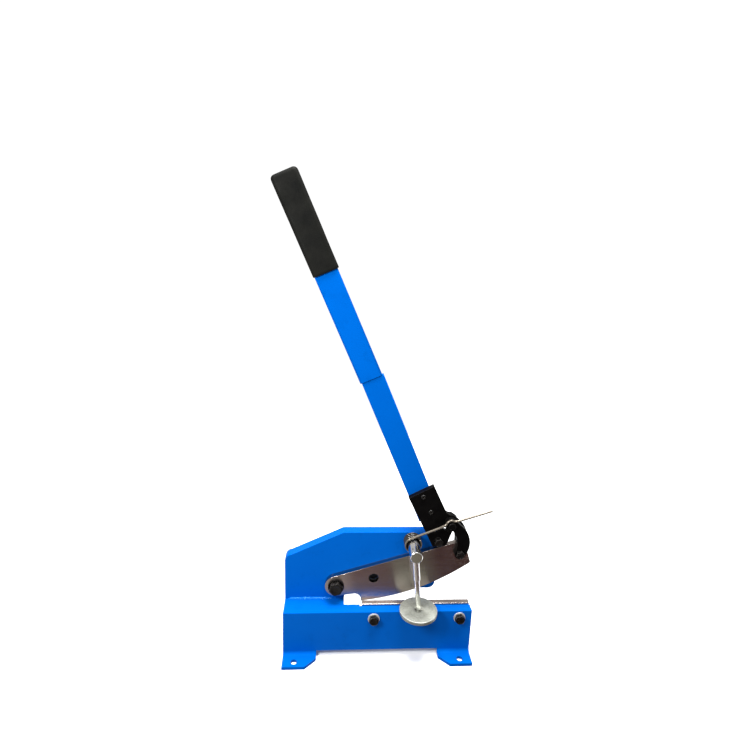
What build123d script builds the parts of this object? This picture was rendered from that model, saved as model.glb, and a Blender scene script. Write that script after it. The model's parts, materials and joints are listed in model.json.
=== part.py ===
"""Hand lever plate shear. Millimetres, +Z up, shear plane facing -Y."""

import os
from math import cos, radians, sin

from build123d import *

os.makedirs("parts", exist_ok=True)

# origin of the exported parts: centre of the four bench holes, on the bench
ORIGIN_X = 129.0
ORIGIN_Y = 9.0

# base
BASE_LENGTH = 258.0
BASE_TOP = 69.6
SHEET = 4.5
FRONT_FACE = -21.0
BAR_REAR = -5.0
BEND_Z = 9.5
FOOT_WIDTH = 45.0
FOOT_FRONT = -43.4
FOOT_SNIP = 14.5
FOOT_HOLE_R = 4.4
FOOT_HOLE_X = 15.8
FRONT_HOLE_Y = -34.7
REAR_HOLE_Y = 52.7
REAR_FOOT_END = 64.0
BLOCK_LENGTH = 82.0
BLOCK_BOTTOM = 22.0

# upper plate
PLATE_FRONT = 8.35
PLATE_REAR = 23.35
PLATE_TOP = 172.0
PLATE_UNDER = 84.8

# fixed blade
BLADE_X = 106.7
BLADE_LENGTH = 150.0
BLADE_TOP = 71.9
BLADE_HEIGHT = 25.0
BLADE_T = 8.0
BLADE_BOLT_X = (122.6, 240.8)
BLADE_BOLT_Z = 59.4

# pivots, seen from the front as (x, z)
P0 = (70.5, 94.4)
P1 = (209.0, 163.3)
P2 = (223.8, 191.4)
P3 = (238.6, 147.4)
ARM = (173.4, 163.0)
BAR_HOLE = (122.2, 107.0)

# moving parts
MOVING_FRONT = 0.15
MOVING_REAR = 8.15
LINK_FRONT = -6.4
LINK_T = 6.0
REAR_LINK_FRONT = 8.5
LEVER_TILT = 24.3
WIRE_R = 1.5
COIL_R = 10.5
COIL_PITCH = 3.8
LEG_Y = -8.5
ROD_TILT = 5.7
ROD_Y = -28.2
FIT = 0.05


def front(y):
    """Plane facing the viewer: local x is X, local y is Z, extrudes towards -Y."""
    return Plane(origin=(-ORIGIN_X, y - ORIGIN_Y, 0), x_dir=(1, 0, 0), z_dir=(0, -1, 0))


def top(z):
    """Horizontal plane, extrudes upwards."""
    return Plane(origin=(-ORIGIN_X, -ORIGIN_Y, z), x_dir=(1, 0, 0), z_dir=(0, 0, 1))


def side(x):
    """Plane across the machine: local x is Y, local y is Z, extrudes towards +X."""
    return Plane(origin=(x - ORIGIN_X, -ORIGIN_Y, 0), x_dir=(0, 1, 0), z_dir=(1, 0, 0))


def lever(y):
    """Plane on the lever: origin at its pivot, local y along the handle."""
    across = (cos(radians(LEVER_TILT)), 0, sin(radians(LEVER_TILT)))
    centre = (P1[0] - ORIGIN_X, y - ORIGIN_Y, P1[1])
    return Plane(origin=centre, x_dir=across, z_dir=(0, -1, 0))


def rod_plane(distance):
    """Plane square to the hold-down rod, this far below the arm's axis."""
    tilt = radians(ROD_TILT)
    x = ARM[0] - ORIGIN_X + distance * sin(tilt)
    z = ARM[1] - distance * cos(tilt)
    across = (cos(tilt), 0, sin(tilt))
    upwards = (-sin(tilt), 0, cos(tilt))
    return Plane(origin=(x, ROD_Y - ORIGIN_Y, z), x_dir=across, z_dir=upwards)


# ---------------------------------------------------------------- base

with BuildPart() as front_sheet:
    with BuildSketch(front(FRONT_FACE + SHEET)):
        with Locations((BASE_LENGTH / 2, (BASE_TOP + BEND_Z) / 2)):
            Rectangle(BASE_LENGTH, BASE_TOP - BEND_Z)
    extrude(amount=SHEET)
    for foot_x in (0, BASE_LENGTH - FOOT_WIDTH):
        with BuildSketch(side(foot_x)):
            with BuildLine():
                Line((FRONT_FACE, BEND_Z), (FRONT_FACE + SHEET, BEND_Z))
                RadiusArc((FRONT_FACE + SHEET, BEND_Z), (FRONT_FACE - 5, 0), BEND_Z)
                Line((FRONT_FACE - 5, 0), (FOOT_FRONT, 0))
                Line((FOOT_FRONT, 0), (FOOT_FRONT, SHEET))
                Line((FOOT_FRONT, SHEET), (FRONT_FACE - 5, SHEET))
                RadiusArc((FRONT_FACE - 5, SHEET), (FRONT_FACE, BEND_Z), -5)
            make_face()
        extrude(amount=FOOT_WIDTH)
    with BuildSketch(top(-1)):
        with BuildLine():
            Polyline(
                (FOOT_WIDTH + 1, FOOT_FRONT + FOOT_SNIP + 1),
                (FOOT_WIDTH + 1, FOOT_FRONT - 1),
                (FOOT_WIDTH - FOOT_SNIP - 1, FOOT_FRONT - 1),
                close=True,
            )
        make_face()
        with BuildLine():
            Polyline(
                (BASE_LENGTH - FOOT_WIDTH - 1, FOOT_FRONT + FOOT_SNIP + 1),
                (BASE_LENGTH - FOOT_WIDTH - 1, FOOT_FRONT - 1),
                (BASE_LENGTH - FOOT_WIDTH + FOOT_SNIP + 1, FOOT_FRONT - 1),
                close=True,
            )
        make_face()
    extrude(amount=8, mode=Mode.SUBTRACT)
    with BuildSketch(top(-1)):
        with Locations((FOOT_HOLE_X, FRONT_HOLE_Y), (BASE_LENGTH - FOOT_HOLE_X, FRONT_HOLE_Y)):
            Circle(FOOT_HOLE_R)
    extrude(amount=8, mode=Mode.SUBTRACT)
    with BuildSketch(front(FRONT_FACE + SHEET + 1)):
        with Locations(*[(x, BLADE_BOLT_Z) for x in BLADE_BOLT_X]):
            Circle(4.5)
    extrude(amount=SHEET + 2, mode=Mode.SUBTRACT)
    fillet(front_sheet.edges().filter_by(Axis.X).group_by(Axis.Z)[-1].sort_by(Axis.Y)[0], 0.8)
front_sheet.part.label = "front_sheet"
export_step(front_sheet.part, "parts/front_sheet.step")

with BuildPart() as lower_jaw_bar:
    with BuildSketch(front(BAR_REAR)):
        with Locations((BASE_LENGTH / 2, (BASE_TOP + BLOCK_BOTTOM) / 2)):
            Rectangle(BASE_LENGTH, BASE_TOP - BLOCK_BOTTOM)
    extrude(amount=BAR_REAR - FRONT_FACE - SHEET)
    with BuildSketch(front(BAR_REAR + 1)):
        with Locations(((BLADE_X + BASE_LENGTH) / 2 - 1, BASE_TOP - 10)):
            Rectangle(BASE_LENGTH - BLADE_X + 4, 46)
    extrude(amount=BLADE_T + BAR_REAR + 1, mode=Mode.SUBTRACT)
    with BuildSketch(front(0)):
        with Locations(*[(x, BLADE_BOLT_Z) for x in BLADE_BOLT_X]):
            Circle(4.5)
    extrude(amount=20, mode=Mode.SUBTRACT)
lower_jaw_bar.part.label = "lower_jaw_bar"
export_step(lower_jaw_bar.part, "parts/lower_jaw_bar.step")

with BuildPart() as offset_block:
    with BuildSketch(top(BLOCK_BOTTOM)):
        with Locations((BLOCK_LENGTH / 2, (BAR_REAR + PLATE_REAR) / 2)):
            Rectangle(BLOCK_LENGTH, PLATE_REAR - BAR_REAR)
    extrude(amount=BASE_TOP - BLOCK_BOTTOM)
    fillet(offset_block.edges().filter_by(Axis.Z).group_by(Axis.X)[-1].sort_by(Axis.Y)[-1], 6)
    chamfer(offset_block.edges().group_by(Axis.Z)[0], 1)
offset_block.part.label = "offset_block"
export_step(offset_block.part, "parts/offset_block.step")

with BuildPart() as upper_plate:
    with BuildSketch(front(PLATE_REAR)):
        with BuildLine():
            Line((0, BASE_TOP), (0, 129))
            RadiusArc((0, 129), (8.5, 138.5), 9)
            Line((8.5, 138.5), (79.5, PLATE_TOP))
            Line((79.5, PLATE_TOP), (P1[0] + 1, PLATE_TOP))
            RadiusArc((P1[0] + 1, PLATE_TOP), (P1[0] + 10.5, P1[1] - 6), 11.5)
            Line((P1[0] + 10.5, P1[1] - 6), (209.3, 95))
            RadiusArc((209.3, 95), (201, PLATE_UNDER), 10)
            Line((201, PLATE_UNDER), (97, PLATE_UNDER))
            RadiusArc((97, PLATE_UNDER), (BLOCK_LENGTH, BASE_TOP), -15.5)
            Line((BLOCK_LENGTH, BASE_TOP), (0, BASE_TOP))
        make_face()
    extrude(amount=PLATE_REAR - PLATE_FRONT)
    with BuildSketch(front(PLATE_REAR + 1)):
        with Locations(P0):
            Circle(5.1)
        with Locations(P1):
            Circle(3.1)
        with Locations(ARM):
            Circle(5 + FIT)
        with Locations(BAR_HOLE):
            Circle(6.9)
    extrude(amount=PLATE_REAR - PLATE_FRONT + 2, mode=Mode.SUBTRACT)
upper_plate.part.label = "upper_plate"
export_step(upper_plate.part, "parts/upper_plate.step")


with BuildPart() as plate_weld:
    with BuildSketch(side(5)):
        with BuildLine():
            Line((PLATE_FRONT, BASE_TOP), (PLATE_FRONT - 4, BASE_TOP))
            RadiusArc((PLATE_FRONT - 4, BASE_TOP), (PLATE_FRONT, BASE_TOP + 4), 6.4)
            Line((PLATE_FRONT, BASE_TOP + 4), (PLATE_FRONT, BASE_TOP))
        make_face()
    extrude(amount=60)
plate_weld.part.label = "plate_weld"
export_step(plate_weld.part, "parts/plate_weld.step")

with BuildPart() as block_weld:
    with BuildSketch(top(30)):
        with BuildLine():
            Line((BLOCK_LENGTH, BAR_REAR), (BLOCK_LENGTH + 4, BAR_REAR))
            RadiusArc((BLOCK_LENGTH + 4, BAR_REAR), (BLOCK_LENGTH, BAR_REAR + 4), -6.4)
            Line((BLOCK_LENGTH, BAR_REAR + 4), (BLOCK_LENGTH, BAR_REAR))
        make_face()
    extrude(amount=30)
block_weld.part.label = "block_weld"
export_step(block_weld.part, "parts/block_weld.step")


def rear_foot(x, wall_y, wall_top):
    """Bent angle behind the base: wall against a rear face, foot going rearwards."""
    outer = wall_y + SHEET + 5
    with BuildPart() as angle:
        with BuildSketch(side(x)):
            with BuildLine():
                Line((wall_y, wall_top), (wall_y + SHEET, wall_top))
                Line((wall_y + SHEET, wall_top), (wall_y + SHEET, BEND_Z))
                RadiusArc((wall_y + SHEET, BEND_Z), (outer, SHEET), -5)
                Line((outer, SHEET), (REAR_FOOT_END, SHEET))
                Line((REAR_FOOT_END, SHEET), (REAR_FOOT_END, 0))
                Line((REAR_FOOT_END, 0), (outer, 0))
                RadiusArc((outer, 0), (wall_y, BEND_Z), BEND_Z)
                Line((wall_y, BEND_Z), (wall_y, wall_top))
            make_face()
        extrude(amount=FOOT_WIDTH)
        hole_x = FOOT_HOLE_X if x == 0 else BASE_LENGTH - FOOT_HOLE_X
        with BuildSketch(top(-1)):
            with Locations((hole_x, REAR_HOLE_Y)):
                Circle(FOOT_HOLE_R)
        extrude(amount=8, mode=Mode.SUBTRACT)
        fillet(angle.edges().filter_by(Axis.Z).group_by(Axis.Y)[-1], 6)
    return angle


rear_foot_left = rear_foot(0, PLATE_REAR, 60)
rear_foot_left.part.label = "rear_foot_left"
export_step(rear_foot_left.part, "parts/rear_foot_left.step")

rear_foot_right = rear_foot(BASE_LENGTH - FOOT_WIDTH, BAR_REAR, 38)
rear_foot_right.part.label = "rear_foot_right"
export_step(rear_foot_right.part, "parts/rear_foot_right.step")

# ---------------------------------------------------------------- fixed blade

with BuildPart() as fixed_blade:
    with BuildSketch(front(0)):
        with Locations((BLADE_X + BLADE_LENGTH / 2, BLADE_TOP - BLADE_HEIGHT / 2)):
            Rectangle(BLADE_LENGTH, BLADE_HEIGHT)
    extrude(amount=BLADE_T)
    with BuildSketch(front(1)):
        with Locations(*[(x, BLADE_BOLT_Z) for x in BLADE_BOLT_X]):
            Circle(4.02)
    extrude(amount=BLADE_T + 2, mode=Mode.SUBTRACT)
    chamfer(fixed_blade.edges().filter_by(Axis.X).group_by(Axis.Z)[-1].sort_by(Axis.Y)[0], 0.5)
fixed_blade.part.label = "fixed_blade"
export_step(fixed_blade.part, "parts/fixed_blade.step")


def hexagon(across_flats):
    RegularPolygon(radius=across_flats / 2, side_count=6, major_radius=False)


def ring(y, thickness, outer, inner, centres):
    """Flat washers, or a bush, ending at y on the rear."""
    with BuildPart() as washer:
        with BuildSketch(front(y)):
            with Locations(*centres):
                Circle(outer)
                Circle(inner, mode=Mode.SUBTRACT)
        extrude(amount=thickness)
    return washer


def hex_nut(y, height, across_flats, bore, centres):
    """Nuts whose rear face is at y, with the corners turned off both ends."""
    with BuildPart() as nut:
        with BuildSketch(front(y)):
            with Locations(*centres):
                hexagon(across_flats)
        extrude(amount=height)
        with BuildSketch(front(y)):
            with Locations(*centres):
                Circle(across_flats / 2 * 1.155)
        extrude(amount=height, mode=Mode.INTERSECT)
        with BuildSketch(front(y)):
            with Locations(*centres):
                Circle(bore)
        extrude(amount=height, mode=Mode.SUBTRACT)
    return nut


def hex_bolt(seat, head_height, across_flats, shank, length, centres):
    """Bolts whose head sits on the face at y = seat and whose shank runs to +Y."""
    with BuildPart() as bolt:
        with BuildSketch(front(seat)):
            with Locations(*centres):
                hexagon(across_flats)
        extrude(amount=head_height)
        flat_edges = bolt.faces().sort_by(Axis.Y)[: len(centres)].edges()
        chamfer(flat_edges, 0.6)
        with BuildSketch(front(seat + length)):
            with Locations(*centres):
                Circle(shank)
        extrude(amount=length)
    return bolt


bolt_points = [(x, BLADE_BOLT_Z) for x in BLADE_BOLT_X]

fixed_blade_washers = ring(FRONT_FACE, 1.6, 8, 4.3, bolt_points)
fixed_blade_washers.part.label = "fixed_blade_washers"
export_step(fixed_blade_washers.part, "parts/fixed_blade_washers.step")

fixed_blade_bolts = hex_bolt(FRONT_FACE - 1.6, 5.5, 12, 4, 20.6, bolt_points)
fixed_blade_bolts.part.label = "fixed_blade_bolts"
export_step(fixed_blade_bolts.part, "parts/fixed_blade_bolts.step")

# ---------------------------------------------------------------- blade pivot

blade_pivot_bush = ring(PLATE_FRONT, PLATE_FRONT + 0.05, 8, 5.05, [P0])
blade_pivot_bush.part.label = "blade_pivot_bush"
export_step(blade_pivot_bush.part, "parts/blade_pivot_bush.step")

blade_pivot_washer = ring(-0.05, 2, 11, 5.2, [P0])
blade_pivot_washer.part.label = "blade_pivot_washer"
export_step(blade_pivot_washer.part, "parts/blade_pivot_washer.step")

blade_pivot_bolt = hex_bolt(-2.05, 6.4, 17, 5, 36, [P0])
blade_pivot_bolt.part.label = "blade_pivot_bolt"
export_step(blade_pivot_bolt.part, "parts/blade_pivot_bolt.step")

blade_pivot_nut = hex_nut(PLATE_REAR + 8, 8, 17, 5.02, [P0])
blade_pivot_nut.part.label = "blade_pivot_nut"
export_step(blade_pivot_nut.part, "parts/blade_pivot_nut.step")

# ---------------------------------------------------------------- lever pivot

lever_pivot_bush = ring(PLATE_FRONT, PLATE_FRONT + 0.05, 5, 3.05, [P1])
lever_pivot_bush.part.label = "lever_pivot_bush"
export_step(lever_pivot_bush.part, "parts/lever_pivot_bush.step")

lever_pivot_washer = ring(-0.05, 1.2, 6.5, 3.2, [P1])
lever_pivot_washer.part.label = "lever_pivot_washer"
export_step(lever_pivot_washer.part, "parts/lever_pivot_washer.step")

lever_pivot_bolt = hex_bolt(-1.25, 4, 10, 3, 32, [P1])
lever_pivot_bolt.part.label = "lever_pivot_bolt"
export_step(lever_pivot_bolt.part, "parts/lever_pivot_bolt.step")

lever_pivot_nut = hex_nut(PLATE_REAR + 5, 5, 10, 3.02, [P1])
lever_pivot_nut.part.label = "lever_pivot_nut"
export_step(lever_pivot_nut.part, "parts/lever_pivot_nut.step")

# ---------------------------------------------------------------- moving blade

with BuildPart() as moving_blade:
    with BuildSketch(front(MOVING_REAR)):
        with BuildLine():
            RadiusArc((65.91, 108.88), (72.13, 79.29), -15.2)
            Line((72.13, 79.29), (84, 81.0))
            Line((84, 81.0), (97, 82.6))
            RadiusArc((97, 82.6), (105.3, 71.2), 9.5)
            ThreePointArc((105.3, 71.2), (184.6, 90.9), (255.7, 130.8))
            Line((255.7, 130.8), (244.9, 164.6))
            Line((244.9, 164.6), (65.91, 108.88))
        make_face()
        with Locations(P0):
            Circle(15.2)
    extrude(amount=BLADE_T)
    with BuildSketch(front(MOVING_REAR + 1)):
        with Locations(P0):
            Circle(8 + FIT)
        with Locations(P3):
            Circle(3 + FIT)
        with Locations(BAR_HOLE):
            Circle(6.9)
    extrude(amount=BLADE_T + 2, mode=Mode.SUBTRACT)
moving_blade.part.label = "moving_blade"
export_step(moving_blade.part, "parts/moving_blade.step")

# ---------------------------------------------------------------- links


def link_plate(y):
    """C-shaped link whose rear face is at y."""
    with BuildPart() as link:
        with BuildSketch(front(y)):
            with BuildLine():
                Line((P2[0] + 4, P2[1] + 8.06), (241.5, 186.5))
                ThreePointArc((241.5, 186.5), (250.9, 167.0), (246.0, 146.0))
                Line((246.0, 146.0), (231.2, 147.4))
                ThreePointArc((231.2, 147.4), (233.9, 162.5), (226.0, 182.7))
                Line((226.0, 182.7), (P2[0] + 4, P2[1] + 8.06))
            make_face()
            with Locations(P2):
                Circle(9)
            with Locations(P3):
                Circle(7.5)
        extrude(amount=LINK_T)
        with BuildSketch(front(y + 1)):
            with Locations(P2, P3):
                Circle(3.02)
        extrude(amount=LINK_T + 2, mode=Mode.SUBTRACT)
    return link


front_link = link_plate(LINK_FRONT + LINK_T)
front_link.part.label = "front_link"
export_step(front_link.part, "parts/front_link.step")

rear_link = link_plate(REAR_LINK_FRONT + LINK_T)
rear_link.part.label = "rear_link"
export_step(rear_link.part, "parts/rear_link.step")

rear_link_back = REAR_LINK_FRONT + LINK_T

with BuildPart() as link_upper_pin:
    with BuildSketch(front(rear_link_back + 2.5)):
        with Locations(P2):
            Circle(3)
    extrude(amount=rear_link_back + 2.5 - LINK_FRONT)
    with BuildSketch(front(LINK_FRONT)):
        with Locations(P2):
            Circle(5)
    extrude(amount=5.1)
    chamfer(link_upper_pin.faces().sort_by(Axis.Y)[0].edges(), 0.6)
link_upper_pin.part.label = "link_upper_pin"
export_step(link_upper_pin.part, "parts/link_upper_pin.step")

link_upper_clip = ring(rear_link_back + 1.5, 1.5, 6.5, 3.02, [P2])
link_upper_clip.part.label = "link_upper_clip"
export_step(link_upper_clip.part, "parts/link_upper_clip.step")

link_lower_bolt = hex_bolt(LINK_FRONT, 4, 10, 3, 28, [P3])
link_lower_bolt.part.label = "link_lower_bolt"
export_step(link_lower_bolt.part, "parts/link_lower_bolt.step")

link_lower_nut = hex_nut(rear_link_back + 5, 5, 10, 3.02, [P3])
link_lower_nut.part.label = "link_lower_nut"
export_step(link_lower_nut.part, "parts/link_lower_nut.step")

# ---------------------------------------------------------------- lever

# room for the upper link pin as the lever turns, as circles about P2
SLOT_CIRCLES = [(0.5, 4.6, 3.9), (1.5, -1.2, 3.6), (0.4, -6.0, 4.0), (-1.6, -7.6, 4.8), (-4.1, -7.6, 5.3)]
BAR_CENTRE = 2.5
BAR_WIDTH = 30.4
BAR_LEAN = 0.7
BAR_T = 8.0
BAR_START = 33.9
TANG_WIDTH = 25.0
TANG_END = 300.0
TUBE_START = 245.0
TUBE_CENTRE = 2.0
TUBE_WIDTH = 30.2
TUBE_T = 11.0
GRIP_START = 387.6
GRIP_END = 510.6
GRIP_WIDTH = 33.4
GRIP_T = 17.0
LUG_BOLTS = [(4.9, 70.2), (6.2, 45.3)]

with BuildPart() as lever_lug:
    with BuildSketch(front(MOVING_REAR)):
        with BuildLine():
            Polyline(
                (165.0, 227.2),
                (198.2, 244.9),
                (217.2, 206.2),
                (228.0, 199.0),
                (231.0, 183.6),
                (227.0, 177.4),
                (221.6, 161.2),
                (220.6, 158.6),
                (201.4, 154.9),
                (189.8, 178.6),
                close=True,
            )
        make_face()
        with Locations(P2):
            Circle(11)
    extrude(amount=MOVING_REAR - MOVING_FRONT)
    with BuildSketch(front(MOVING_REAR + 1)):
        for offset_x, offset_z, radius in SLOT_CIRCLES:
            with Locations((P2[0] + offset_x, P2[1] + offset_z)):
                Circle(radius)
        make_hull()
        with Locations(P1):
            Circle(5 + FIT)
    extrude(amount=BLADE_T + 2, mode=Mode.SUBTRACT)
    with BuildSketch(lever(MOVING_REAR + 1)):
        with Locations(*LUG_BOLTS):
            Circle(3.02)
    extrude(amount=BLADE_T + 2, mode=Mode.SUBTRACT)
lever_lug.part.label = "lever_lug"
export_step(lever_lug.part, "parts/lever_lug.step")

with BuildPart() as handle_bar:
    with BuildSketch(lever(MOVING_REAR + BAR_T)):
        with Locations((BAR_CENTRE, (BAR_START + TUBE_START) / 2)):
            Rectangle(BAR_WIDTH, TUBE_START - BAR_START, rotation=-BAR_LEAN)
    extrude(amount=BAR_T)
    fillet([e for e in handle_bar.edges() if e.length > 200], 1.2)
    with BuildSketch(lever(MOVING_REAR + BAR_T)):
        with Locations((TUBE_CENTRE, (TUBE_START + TANG_END) / 2 - 1)):
            Rectangle(TANG_WIDTH, TANG_END - TUBE_START + 2)
    extrude(amount=BAR_T)
    with BuildSketch(lever(MOVING_REAR + BAR_T + 1)):
        with Locations(*LUG_BOLTS):
            Circle(3.02)
    extrude(amount=BAR_T + 2, mode=Mode.SUBTRACT)
handle_bar.part.label = "handle_bar"
export_step(handle_bar.part, "parts/handle_bar.step")

with BuildPart() as handle_tube:
    with BuildSketch(lever(MOVING_REAR + (BAR_T + TUBE_T) / 2)):
        with Locations((TUBE_CENTRE, (TUBE_START + GRIP_END - 5) / 2)):
            Rectangle(TUBE_WIDTH, GRIP_END - 5 - TUBE_START)
    extrude(amount=TUBE_T)
    long_edges = [e for e in handle_tube.edges() if e.length > 200]
    fillet(long_edges, 2.5)
    with BuildSketch(lever(MOVING_REAR + BAR_T)):
        with Locations((TUBE_CENTRE, (TUBE_START + GRIP_END) / 2)):
            Rectangle(TANG_WIDTH, GRIP_END + 20 - TUBE_START)
    extrude(amount=BAR_T, mode=Mode.SUBTRACT)
handle_tube.part.label = "handle_tube"
export_step(handle_tube.part, "parts/handle_tube.step")

with BuildPart() as grip:
    with BuildSketch(lever(MOVING_REAR + (BAR_T + GRIP_T) / 2)):
        with Locations((TUBE_CENTRE + 0.2, (GRIP_START + GRIP_END) / 2)):
            Rectangle(GRIP_WIDTH, GRIP_END - GRIP_START)
    extrude(amount=GRIP_T)
    grip_sides = [e for e in grip.edges() if e.length > 100]
    fillet(grip_sides, 6)
    grip_ends = grip.faces().sort_by(Axis(origin=(0, 0, 0), direction=tuple(lever(0).y_dir)))[-1].edges()
    fillet(grip_ends, 4)
    with BuildSketch(lever(MOVING_REAR + (BAR_T + TUBE_T) / 2)):
        with Locations((TUBE_CENTRE, (GRIP_START + GRIP_END - 5) / 2)):
            Rectangle(TUBE_WIDTH, GRIP_END - 5 - GRIP_START)
    extrude(amount=TUBE_T, mode=Mode.SUBTRACT)
grip.part.label = "grip"
export_step(grip.part, "parts/grip.step")

with BuildPart() as lug_bolts:
    with BuildSketch(lever(MOVING_FRONT)):
        with Locations(*LUG_BOLTS):
            Circle(3.4)
    extrude(amount=1.6)
    chamfer(lug_bolts.faces().sort_by(Axis.Y)[:2].edges(), 0.6)
    with BuildSketch(lever(MOVING_FRONT - 1.7)):
        with Locations(*LUG_BOLTS):
            hexagon(3)
    extrude(amount=-1.2, mode=Mode.SUBTRACT)
    with BuildSketch(lever(MOVING_REAR + BAR_T + 6)):
        with Locations(*LUG_BOLTS):
            Circle(3)
    extrude(amount=MOVING_REAR + BAR_T + 6 - MOVING_FRONT)
lug_bolts.part.label = "lug_bolts"
export_step(lug_bolts.part, "parts/lug_bolts.step")

with BuildPart() as lug_nuts:
    with BuildSketch(lever(MOVING_REAR + BAR_T + 5)):
        with Locations(*LUG_BOLTS):
            hexagon(10)
            Circle(3.02, mode=Mode.SUBTRACT)
    extrude(amount=5)
lug_nuts.part.label = "lug_nuts"
export_step(lug_nuts.part, "parts/lug_nuts.step")

# ---------------------------------------------------------------- latch spring

with BuildPart() as spring_coil:
    with BuildLine() as coil_path:
        Helix(
            pitch=COIL_PITCH,
            height=3 * COIL_PITCH,
            radius=COIL_R,
            center=(ARM[0] - ORIGIN_X, 6.5 - ORIGIN_Y, ARM[1]),
            direction=(0, -1, 0),
        )
    with BuildSketch(Plane(origin=coil_path.line @ 0, z_dir=coil_path.line % 0)):
        Circle(WIRE_R)
    sweep(is_frenet=True)
spring_coil.part.label = "spring_coil"
export_step(spring_coil.part, "parts/spring_coil.step")

leg_angle = radians(112.3)
leg_start = (ARM[0] + COIL_R * cos(leg_angle), ARM[1] + COIL_R * sin(leg_angle))

with BuildPart() as latch_spring_leg:
    with BuildLine(front(LEG_Y)) as leg_path:
        CenterArc(ARM, COIL_R, 392.3, -280)
        FilletPolyline(
            leg_start,
            (215.4, 191.6),
            (218.0, 197.3),
            (222.6, 199.9),
            (228.6, 197.2),
            (275.4, 213.4),
            radius=2.5,
        )
    with BuildSketch(Plane(origin=leg_path.line @ 0, z_dir=leg_path.line % 0)):
        Circle(WIRE_R)
    sweep(transition=Transition.ROUND)
latch_spring_leg.part.label = "latch_spring_leg"
export_step(latch_spring_leg.part, "parts/latch_spring_leg.step")

# ---------------------------------------------------------------- hold-down

ARM_FRONT = -38.2
SLEEVE_END = 38.5
DISC_TOP = 78.7
DISC_T = 5.2
DISC_R = 25.5
DISC_X = 181.8
ROD_R = 3.5

with BuildPart() as hold_down_arm:
    with BuildSketch(front(PLATE_FRONT - 0.2)):
        with Locations(ARM):
            Circle(8)
    extrude(amount=PLATE_FRONT - 0.2 - ARM_FRONT)
    chamfer(hold_down_arm.faces().sort_by(Axis.Y)[0].edges(), 0.7)
    with BuildSketch(front(PLATE_REAR + 0.2)):
        with Locations(ARM):
            Circle(5)
    extrude(amount=PLATE_REAR - PLATE_FRONT + 0.4)
    with BuildSketch(front(PLATE_REAR + 6)):
        with Locations(ARM):
            Circle(3)
    extrude(amount=6)
    with BuildSketch(rod_plane(9)):
        Circle(ROD_R + 0.4)
    extrude(amount=16.5, mode=Mode.SUBTRACT)
hold_down_arm.part.label = "hold_down_arm"
export_step(hold_down_arm.part, "parts/hold_down_arm.step")

hold_down_arm_washer = ring(PLATE_REAR + 1.5, 1.2, 7.6, 3.02, [ARM])
hold_down_arm_washer.part.label = "hold_down_arm_washer"
export_step(hold_down_arm_washer.part, "parts/hold_down_arm_washer.step")

hold_down_arm_nut = hex_nut(PLATE_REAR + 5.1, 3.5, 10, 3.02, [ARM])
hold_down_arm_nut.part.label = "hold_down_arm_nut"
export_step(hold_down_arm_nut.part, "parts/hold_down_arm_nut.step")

with BuildPart() as hold_down_sleeve:
    with BuildSketch(rod_plane(SLEEVE_END)):
        Circle(4.7)
    extrude(amount=SLEEVE_END - 7.0)
    with BuildSketch(front(ARM_FRONT - 5)):
        with Locations(ARM):
            Circle(8.01)
    extrude(amount=-30, mode=Mode.SUBTRACT)
    with BuildSketch(rod_plane(SLEEVE_END + 1)):
        Circle(ROD_R + 0.4)
    extrude(amount=SLEEVE_END, mode=Mode.SUBTRACT)
hold_down_sleeve.part.label = "hold_down_sleeve"
export_step(hold_down_sleeve.part, "parts/hold_down_sleeve.step")

with BuildPart() as hold_down_disc:
    with BuildSketch(top(DISC_TOP - DISC_T)):
        with Locations((DISC_X, ROD_Y)):
            Circle(DISC_R)
    extrude(amount=DISC_T)
    chamfer(hold_down_disc.faces().sort_by(Axis.Z)[-1].edges(), 0.8)
    with BuildSketch(top(DISC_TOP - 3.6)):
        with Locations((DISC_X, ROD_Y)):
            Circle(4.8)
    extrude(amount=8, mode=Mode.SUBTRACT)
hold_down_disc.part.label = "hold_down_disc"
export_step(hold_down_disc.part, "parts/hold_down_disc.step")

with BuildPart() as hold_down_rod:
    with BuildSketch(rod_plane(87.3)):
        Circle(ROD_R)
    extrude(amount=87.3 - 12)
    chamfer(hold_down_rod.faces().sort_by(Axis.Z)[0].edges(), 0.8)
hold_down_rod.part.label = "hold_down_rod"
export_step(hold_down_rod.part, "parts/hold_down_rod.step")
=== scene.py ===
"""Looks of a hand lever plate shear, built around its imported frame. Metres, +Z up, front facing -Y."""

import json
from math import cos, pi, radians, sin, tau

import bpy
from mathutils import Matrix, Vector, noise


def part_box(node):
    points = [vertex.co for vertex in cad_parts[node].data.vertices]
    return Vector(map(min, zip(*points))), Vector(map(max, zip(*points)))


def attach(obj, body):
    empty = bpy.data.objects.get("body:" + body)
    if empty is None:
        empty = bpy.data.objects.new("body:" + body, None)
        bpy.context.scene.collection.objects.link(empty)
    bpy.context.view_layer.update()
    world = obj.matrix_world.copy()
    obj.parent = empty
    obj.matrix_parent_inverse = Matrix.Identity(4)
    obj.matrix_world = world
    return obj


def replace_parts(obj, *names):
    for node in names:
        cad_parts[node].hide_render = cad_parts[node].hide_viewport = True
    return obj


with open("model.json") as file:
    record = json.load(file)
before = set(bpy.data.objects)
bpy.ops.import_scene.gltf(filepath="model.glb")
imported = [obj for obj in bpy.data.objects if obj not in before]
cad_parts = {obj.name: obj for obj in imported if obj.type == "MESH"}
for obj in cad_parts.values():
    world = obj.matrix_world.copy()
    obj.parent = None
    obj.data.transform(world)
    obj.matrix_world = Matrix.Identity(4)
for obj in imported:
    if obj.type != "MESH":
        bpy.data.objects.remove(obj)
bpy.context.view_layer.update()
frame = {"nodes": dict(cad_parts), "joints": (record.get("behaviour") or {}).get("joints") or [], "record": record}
nodes = frame["nodes"]
body_of_node = {
    node: body for body, members in frame["record"]["behaviour"]["bodies"].items() for node in members
}
slot_of_node = {entry["node"]: entry["material_slot"] for entry in frame["record"]["subparts"]}
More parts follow.
